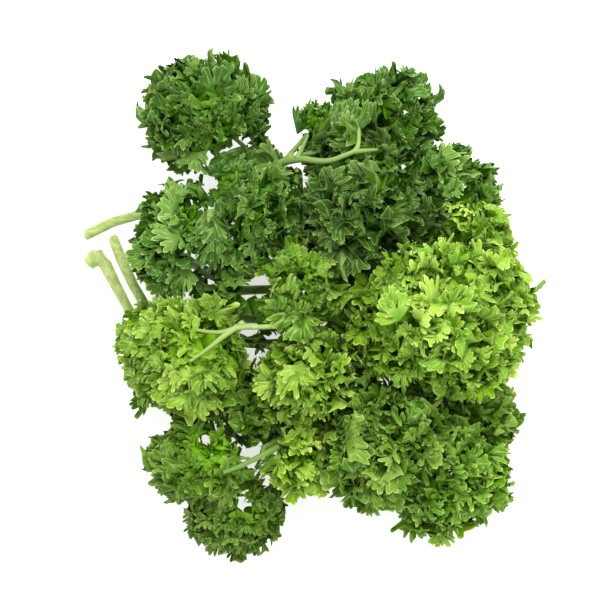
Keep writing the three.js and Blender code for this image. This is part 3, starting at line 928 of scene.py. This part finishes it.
def leaflet_values(grid, fans, room, draw):
    count = len(fans)
    tooth = np.minimum(grid["step"] // STEPS_PER_TOOTH, grid["teeth"] - 1)
    in_tooth = np.abs(grid["step"] - STEPS_PER_TOOTH * tooth - 2) / 2
    order = np.concatenate([np.arange(len(in_tooth)), grid["inner"]])
    lower = np.arange(len(order)) >= len(in_tooth)
    offset = fans[:, order].reshape(-1, 3) - room["middle"]
    depth = np.linalg.norm(offset, axis=1) / reach_of(room, unit(offset))
    return {
        "reach": np.tile(grid["reach"][order], count),
        "tooth": np.tile(in_tooth[order], count),
        "lower": np.tile(lower.astype(float), count),
        "depth": depth,
        "head": np.full(len(depth), HEAD_TONE.get(room["name"], 1.0)),
        "green": np.full(len(depth), HEAD_GREEN.get(room["name"], 0.0)),
        "leaflet": np.repeat(draw.uniform(0, 1, count), len(order)),
    }


trial_values = leaflet_values(LARGE_FAN, trial_sprays[0], trial_room, np.random.default_rng(9))
print("mean depth of the large leaflets", round(float(trial_values["depth"].mean()), 2))

# %% [markdown]
# ## One mesh for a head
#
# A head has some hundreds of leaflets. As single objects they would be slow to draw and hard
# to handle, so all of them are joined into one mesh, written in bulk from rows of numbers. The
# rim of each leaflet is marked as a sharp crease: its two sides are then shaded apart, and the
# edge stays crisp although the faces are smooth.

# %% One mesh for a head
def joined(groups, room, draw):
    """One set of points, triangles, rims and values from several groups of leaflets."""
    points, triangles, rims, values, start = [], [], [], [], 0
    for grid, fans in groups:
        solid = with_lower_side(fans, grid)
        count, size = solid.shape[:2]
        offsets = np.arange(count)[:, None, None] * size + start
        triangles.append((grid["triangles"][None] + offsets).reshape(-1, 3))
        rims.append((grid["rim"][None] + offsets).reshape(-1, 2))
        points.append(solid.reshape(-1, 3))
        values.append(leaflet_values(grid, fans, room, draw))
        start += count * size
    merged = {key: np.concatenate([value[key] for value in values]) for key in values[0]}
    return np.concatenate(points), np.concatenate(triangles), np.concatenate(rims), merged


def store(mesh, key, values):
    """Keeps one number for each point of a mesh, for its material to read."""
    layer = mesh.attributes.new(key, "FLOAT", "POINT")
    layer.data.foreach_set("value", np.asarray(values, np.float32))


def mark_sharp(mesh, rims):
    pairs = np.empty(len(mesh.edges) * 2, np.int32)
    mesh.edges.foreach_get("vertices", pairs)
    pairs = np.sort(pairs.reshape(-1, 2).astype(np.int64), axis=1)
    size = len(mesh.vertices)
    sharp = np.isin(pairs[:, 0] * size + pairs[:, 1], rims[:, 0] * size + rims[:, 1])
    layer = mesh.attributes.new("sharp_edge", "BOOLEAN", "EDGE")
    layer.data.foreach_set("value", sharp)


def mesh_of_triangles(name, points, triangles):
    mesh = bpy.data.meshes.new(name)
    mesh.vertices.add(len(points))
    mesh.vertices.foreach_set("co", points.ravel().astype(np.float32))
    mesh.loops.add(triangles.size)
    mesh.loops.foreach_set("vertex_index", triangles.ravel().astype(np.int32))
    mesh.polygons.add(len(triangles))
    mesh.polygons.foreach_set("loop_start", np.arange(0, triangles.size, 3, dtype=np.int32))
    mesh.update(calc_edges=True)
    return mesh


def leaf_mesh(name, points, triangles, rims, values, material):
    mesh = mesh_of_triangles(name, points, triangles)
    for key, value in values.items():
        store(mesh, key, value)
    mesh.shade_smooth()
    mark_sharp(mesh, rims)
    mesh.materials.append(material)
    return mesh


print("numbers at each point", sorted(trial_values))

# %% [markdown]
# ## Joining shader nodes
#
# A material in Blender is a web of small nodes. Adding each node and each link by its full
# name takes many lines, so this small helper does it: it adds a node, feeds its inputs with
# numbers or with other nodes, and hands back the output. Colours are given as one picks them
# on screen and are turned into linear light, which is what the shaders expect.

# %% Joining shader nodes
def srgb(red, green, blue):
    """A colour picked on screen, from 0 to 255, as linear light."""
    linear = [((part / 255 + 0.055) / 1.055) ** 2.4 if part > 10 else part / 255 / 12.92
              for part in (red, green, blue)]
    return (*linear, 1.0)


class Tree:
    """A small helper that adds nodes and joins them."""

    def __init__(self, tree):
        self.tree = tree

    def add(self, kind, **settings):
        node = self.tree.nodes.new(kind)
        for key, value in settings.items():
            setattr(node, key, value)
        return node

    def feed(self, socket, source):
        if isinstance(source, bpy.types.NodeSocket):
            self.tree.links.new(source, socket)
        else:
            socket.default_value = source

    def attribute(self, name):
        return self.add("ShaderNodeAttribute", attribute_name=name).outputs["Fac"]

    def mix(self, share, first, second):
        node = self.add("ShaderNodeMix", data_type="RGBA")
        sockets = (node.inputs[0], node.inputs[6], node.inputs[7])
        for socket, source in zip(sockets, (share, first, second)):
            self.feed(socket, source)
        return node.outputs[2]

    def smooth(self, source, low, high, to=(0.0, 1.0)):
        node = self.add("ShaderNodeMapRange", interpolation_type="SMOOTHSTEP")
        for socket, value in zip(node.inputs, (source, low, high, *to)):
            self.feed(socket, value)
        return node.outputs[0]

    def math(self, operation, first, second):
        node = self.add("ShaderNodeMath", operation=operation)
        self.feed(node.inputs[0], first)
        self.feed(node.inputs[1], second)
        return node.outputs[0]

    def noise(self, scale):
        node = self.add("ShaderNodeTexNoise")
        node.inputs["Scale"].default_value = scale
        return node

    def bump(self, height, strength, distance):
        node = self.add("ShaderNodeBump")
        node.inputs["Strength"].default_value = strength
        node.inputs["Distance"].default_value = distance
        self.feed(node.inputs["Height"], height)
        return node.outputs["Normal"]


print("mid green as linear light", [round(part, 3) for part in srgb(96, 140, 8)[:3]])

# %% [markdown]
# ## Leaf colour
#
# A parsley leaf is darkest at its root, a painted shade where the fans crowd, and palest along
# the cut edge, a painted highlight for an edge thin enough for light to pass. Pale veins run
# out to the teeth, and the lower side is duller. Inside a head the green is painted brighter
# and richer, painted light for the light that has passed through other leaves. One node group
# holds all this, so the three tones of the bunch share it and differ only in their colours.

# %% Leaf colour
BLOTCH_SCALE = 420.0  # uneven patches, about two millimetres wide


def leaf_colour_group():
    group = bpy.data.node_groups.new("leaf colour", "ShaderNodeTree")
    usual = {"Root_shade_and_blotch": (40, 70, 15), "Face": (80, 120, 40), "Pale_tint_and_rim_highlight": (150, 180, 100),
             "Lower": (110, 140, 80), "Deep_painted_light": (60, 110, 10)}
    for label, colour in usual.items():
        socket = group.interface.new_socket(label, in_out="INPUT", socket_type="NodeSocketColor")
        socket.default_value = srgb(*colour)
    for label, kind in (("Colour", "Color"), ("Roughness", "Float"), ("Height", "Float")):
        group.interface.new_socket(label, in_out="OUTPUT", socket_type="NodeSocket" + kind)
    tree = Tree(group)
    given, result = tree.add("NodeGroupInput").outputs, tree.add("NodeGroupOutput").inputs
    reach, own = tree.attribute("reach"), tree.attribute("leaflet")

    # from the painted shade at the crowded root out to the face, with some leaflets paler than
    # others
    face = tree.mix(tree.smooth(reach, 0.2, 0.9), given["Root_shade_and_blotch"], given["Face"])
    face = tree.mix(tree.smooth(own, 0.7, 1.0, (0.0, 0.22)), face, given["Pale_tint_and_rim_highlight"])
    face = tree.mix(tree.math("MULTIPLY", tree.attribute("lower"), 0.6), face, given["Lower"])
    # painted highlight: the thin rim turns towards the pale colour, standing in for light that the
    # edge catches and lets through
    face = tree.mix(tree.smooth(reach, 0.93, 1.0, (0.0, 0.64)), face, given["Pale_tint_and_rim_highlight"])

    # each leaflet and each head has its own brightness and hue
    vary = tree.add("ShaderNodeHueSaturation")
    hue = tree.math("ADD", tree.smooth(own, 0.0, 1.0, (0.012, -0.010)), tree.attribute("green"))
    tree.feed(vary.inputs["Hue"], tree.math("ADD", hue, 0.5))
    brighter = tree.smooth(own, 0.0, 0.8, (0.78, 1.12))
    tree.feed(vary.inputs["Value"], tree.math("MULTIPLY", brighter, tree.attribute("head")))
    tree.feed(vary.inputs["Color"], face)

    # veins to the teeth, small blotches, and painted light inside the head: a brighter, richer
    # green
    vein = tree.smooth(tree.attribute("tooth"), 0.16, 0.0, (0.0, 0.35))
    outer_vein = tree.math("MULTIPLY", vein, tree.smooth(reach, 0.3, 0.6))
    face = tree.mix(outer_vein, vary.outputs["Color"], given["Pale_tint_and_rim_highlight"])
    blotch = tree.noise(BLOTCH_SCALE).outputs["Fac"]
    face = tree.mix(tree.smooth(blotch, 0.4, 0.75, (0.0, 0.25)), face, given["Root_shade_and_blotch"])
    # painted light: the deeper a point lies in its head, the more it turns to a brighter green that
    # stands in for light passed through other leaves
    deep = tree.smooth(tree.attribute("depth"), 0.92, 0.50, (0.0, 0.85))
    tree.feed(result["Colour"], tree.mix(deep, face, given["Deep_painted_light"]))
    tree.feed(result["Roughness"], tree.smooth(blotch, 0.3, 0.7, (0.40, 0.56)))
    tree.feed(result["Height"], tree.math("SUBTRACT", blotch, vein))
    return group


LEAF_COLOUR = leaf_colour_group()
print("nodes in the leaf colour", len(LEAF_COLOUR.nodes))

# %% [markdown]
# ## Three tones of leaf
#
# The sprigs of one bunch differ in age: the dark ones are older, the yellow-green ones young.
# Each tone is a material of its own round the shared group. The leaf's sheen is weak and
# broken, so the shader reflects little and its roughness comes from the blotches.

# %% Three tones of leaf
LEAF_TONES = {
    "leaf_dark": {"Root_shade_and_blotch": (44, 90, 4), "Face": (68, 110, 8), "Pale_tint_and_rim_highlight": (170, 204, 124),
                  "Lower": (90, 126, 54), "Deep_painted_light": (96, 158, 8)},
    "leaf_middle": {"Root_shade_and_blotch": (62, 112, 4), "Face": (96, 140, 8), "Pale_tint_and_rim_highlight": (190, 218, 126),
                    "Lower": (118, 154, 60), "Deep_painted_light": (118, 180, 10)},
    "leaf_light": {"Root_shade_and_blotch": (78, 128, 4), "Face": (116, 160, 8), "Pale_tint_and_rim_highlight": (208, 230, 134),
                   "Lower": (142, 178, 70), "Deep_painted_light": (134, 194, 12)},
}


def leaf_material(name, colours):
    material, surface = new_material(name)
    tree = Tree(material.node_tree)
    group = tree.add("ShaderNodeGroup", node_tree=LEAF_COLOUR)
    for label, colour in colours.items():
        group.inputs[label].default_value = srgb(*colour)
    tree.feed(surface.inputs["Base Color"], group.outputs["Colour"])
    tree.feed(surface.inputs["Roughness"], group.outputs["Roughness"])
    tree.feed(surface.inputs["Normal"], tree.bump(group.outputs["Height"], 0.25, 0.3 * MM))
    surface.inputs["Specular IOR Level"].default_value = 0.10
    return material


leaf_materials = {slot: leaf_material(slot.replace("leaf_", "") + " leaf", colours)
                  for slot, colours in LEAF_TONES.items()}
print("leaf materials", len(leaf_materials))

# %% [markdown]
# ## Growing the heads
#
# Now each head grows. It replaces its plain solid and keeps to the room that it held. The seed
# of a head comes from its place in the list, so the bunch is the same each time it grows. All
# leaflets are grown first, and those that would close an opening are left out after that, so a
# new opening doesn't change the rest of the head.

# %% Growing the heads
slots = {entry["node"]: entry["material_slot"] for entry in frame["record"]["subparts"]}


def head_leaflets(name, draw):
    """All leaflets of a head, in groups that share a grid."""
    room = rooms[name]
    large, small = sprays(room, slots[name], draw)
    groups = [(LARGE_FAN, large), (SMALL_FAN, small),
              (SMALL_FAN, drawn_in(inner_leaflets(room, draw), room, 0.8)),
              (SMALL_FAN, drawn_in(low_leaflets(room, draw), room, 0.95))]
    if name in HANGING_FREE:
        groups.pop()
    if name in SIDE_SHOOTS:
        groups.append((LARGE_FAN, side_shoots(SIDE_SHOOTS[name], draw)))
    lines = [line for line in open_lines if near_room(line, room)]
    return [(grid, fans[clear_of(fans, lines)]) for grid, fans in groups]


head_triangles = 0
for number, name in enumerate(leaf_names):
    draw = np.random.default_rng(100 + number)
    points, triangles, rims, values = joined(head_leaflets(name, draw), rooms[name], draw)
    head_name = name.replace("leaf", "head")
    mesh = leaf_mesh(head_name, points, triangles, rims, values, leaf_materials[slots[name]])
    piece = new_piece(head_name, mesh)
    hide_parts(name)
    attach(piece, "root")
    head_triangles += len(triangles)
print("triangles in all heads", head_triangles)

# %% [markdown]
# ## Stalk colour
#
# A stalk is pale and a little translucent near the cut and turns greener towards its leaves.
# The cut itself is nearly white. Two numbers on the stalk say how far along a point is and how
# near to the cut, and soft patches, some centimetres long, keep it from looking like plastic.
# Fine grain would be wrong here: a stalk's skin is smooth.

# %% Stalk colour
PATCH_SCALE = 34.0  # patches about three centimetres long


def stalk_material():
    material, surface = new_material("stalk")
    tree = Tree(material.node_tree)
    patches = tree.noise(PATCH_SCALE)
    patches.inputs["Detail"].default_value = 2.0
    patch = patches.outputs["Fac"]
    share = tree.smooth(patch, 0.35, 0.65)
    pale = tree.mix(share, srgb(152, 174, 94), srgb(180, 196, 124))
    green = tree.mix(share, srgb(84, 124, 44), srgb(120, 158, 70))
    colour = tree.mix(tree.attribute("along"), pale, green)
    colour = tree.mix(tree.attribute("cut"), colour, srgb(212, 218, 174))
    tree.feed(surface.inputs["Base Color"], colour)
    tree.feed(surface.inputs["Roughness"], tree.smooth(patch, 0.3, 0.7, (0.38, 0.52)))
    tree.feed(surface.inputs["Normal"], tree.bump(patch, 0.08, 0.4 * MM))
    surface.inputs["Specular IOR Level"].default_value = 0.2
    return material


STALK = stalk_material()
print("nodes in the stalk", len(STALK.node_tree.nodes))

# %% [markdown]
# ## A blunt cut end
#
# The stalk of sprig b is bent right at its end and was cut straight across the bend, which
# leaves a wide, blunt foot. The plain tube runs out there in a thin slant. So its points are
# held back to a flat cut, and two short rods are added that give the foot its width. The next
# step melts them into the stalk.

# %% A blunt cut end
CUT_AT = -84.0  # mm, along x
BENT_END = [  # from, to and radius of each rod, in mm
    ((-82.5, 24, 4.2), (-86.5, 19.5, 4.2), 3.0),
    ((-83, 25, 4), (-73, 7, 3.6), 2.2),
]


def add_rod(mesh, start, end, radius):
    """Adds a short round rod to a mesh, between two places of the drawing."""
    start, end = laid(start), laid(end)
    turn = Vector(end - start).to_track_quat("Z", "Y").to_matrix().to_4x4()
    shape = bmesh.new()
    shape.from_mesh(mesh)
    bmesh.ops.create_cone(shape, cap_ends=True, segments=24,
                          radius1=radius * MM, radius2=radius * MM,
                          depth=float(np.linalg.norm(end - start)),
                          matrix=Matrix.Translation((start + end) / 2) @ turn)
    shape.to_mesh(mesh)
    shape.free()


def blunt_end(mesh):
    points = mesh_points(mesh)
    points[:, 0] = np.maximum(points[:, 0], (CUT_AT + SHIFT[0]) * MM)
    mesh.vertices.foreach_set("co", points.ravel())
    for rod in BENT_END:
        add_rod(mesh, *rod)


print("rods in the blunt end", len(BENT_END))

# %% [markdown]
# ## Stalks
#
# The stalks and forks are round and grow into each other. The plain solids are faceted tubes,
# so each is copied, rebuilt as an even skin of small cells and smoothed, which melts the joints
# into forks. Subdividing the tubes would round them too, but it would leave a hard seam at
# every fork. The skin is thinned out again at the end, since a smooth tube needs few faces.

# %% Stalks
SKIN_CELL = 0.55 * MM
SOFTENING_STEPS = 12
FACES_KEPT = 0.35


def mark_length(mesh):
    """Stores how close each point is to the cut end, and how far along to the leaves."""
    points = mesh_points(mesh)
    along = points[:, 0] - points[:, 0].min()
    rise = points[:, 2]
    far = np.clip(np.maximum(along / (35 * MM) - 0.5, rise / (8 * MM) - 0.9), 0, 0.75)
    far = np.minimum(far, 0.3 + np.clip((65 * MM - rise) / (14 * MM), 0, 1))
    store(mesh, "cut", np.clip(1.3 - along / (1.2 * MM), 0, 1))
    store(mesh, "along", far)


def smooth_stalk(name):
    mesh = frame["nodes"][name].data.copy()
    if name == "sprig_b_stalk":
        blunt_end(mesh)
    piece = new_piece(name.replace("stalk", "forked_stalk"), mesh)
    skin = piece.modifiers.new("skin", "REMESH")
    skin.mode = "VOXEL"
    skin.voxel_size = SKIN_CELL
    soft = piece.modifiers.new("soft", "SMOOTH")
    soft.iterations = SOFTENING_STEPS
    thin = piece.modifiers.new("thin", "DECIMATE")
    thin.ratio = FACES_KEPT
    graph = bpy.context.evaluated_depsgraph_get()
    smooth = bpy.data.meshes.new_from_object(piece.evaluated_get(graph))
    piece.modifiers.clear()
    piece.data = smooth
    smooth.materials.clear()
    smooth.materials.append(STALK)
    smooth.shade_smooth()
    mark_length(smooth)
    return piece


for name in stalk_names:
    piece = smooth_stalk(name)
    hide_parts(name)
    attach(piece, "root")
    print(piece.name, "triangles", len(piece.data.polygons))

# %% [markdown]
# ## Side stems
#
# The thin stems are round and taper towards their leaves. A curve with a bevel is the natural
# way to draw such a stem: it needs only the route and a radius. It is turned into a mesh at
# once, because the stem also carries the number that tells its material how green it is.

# %% Side stems
STEM_TAPER = 0.5  # how much thinner a stem is at its end
STEM_GREEN = {"sprig_a": 0.7, "sprig_b": 0.7, "sprig_c": 0.3}


def stem_mesh(name, route, radius):
    """A thin round stem through the given places, thinner towards its end."""
    curve = bpy.data.curves.new(name, "CURVE")
    curve.dimensions = "3D"
    curve.bevel_depth = radius
    curve.bevel_resolution = 3
    curve.resolution_u = 6
    curve.use_fill_caps = True
    line = curve.splines.new("NURBS")
    line.points.add(len(route) - 1)
    for number, (knot, place) in enumerate(zip(line.points, route)):
        knot.co = (*laid(place), 1.0)
        knot.radius = 1.0 - STEM_TAPER * number / (len(route) - 1)
    line.use_endpoint_u = True
    line.order_u = 3
    drawn = bpy.data.objects.new(name + "_line", curve)
    mesh = bpy.data.meshes.new_from_object(drawn)
    bpy.data.objects.remove(drawn)
    mesh.materials.clear()
    mesh.materials.append(STALK)
    mesh.shade_smooth()
    store(mesh, "along", np.full(len(mesh.vertices), STEM_GREEN[name.split("_side")[0]]))
    return mesh


for name, (radius, route) in SIDE_STEMS.items():
    piece = new_piece(name, stem_mesh(name, route, radius * MM))
    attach(piece, "root")
    print(piece.name, "faces", len(piece.data.polygons))
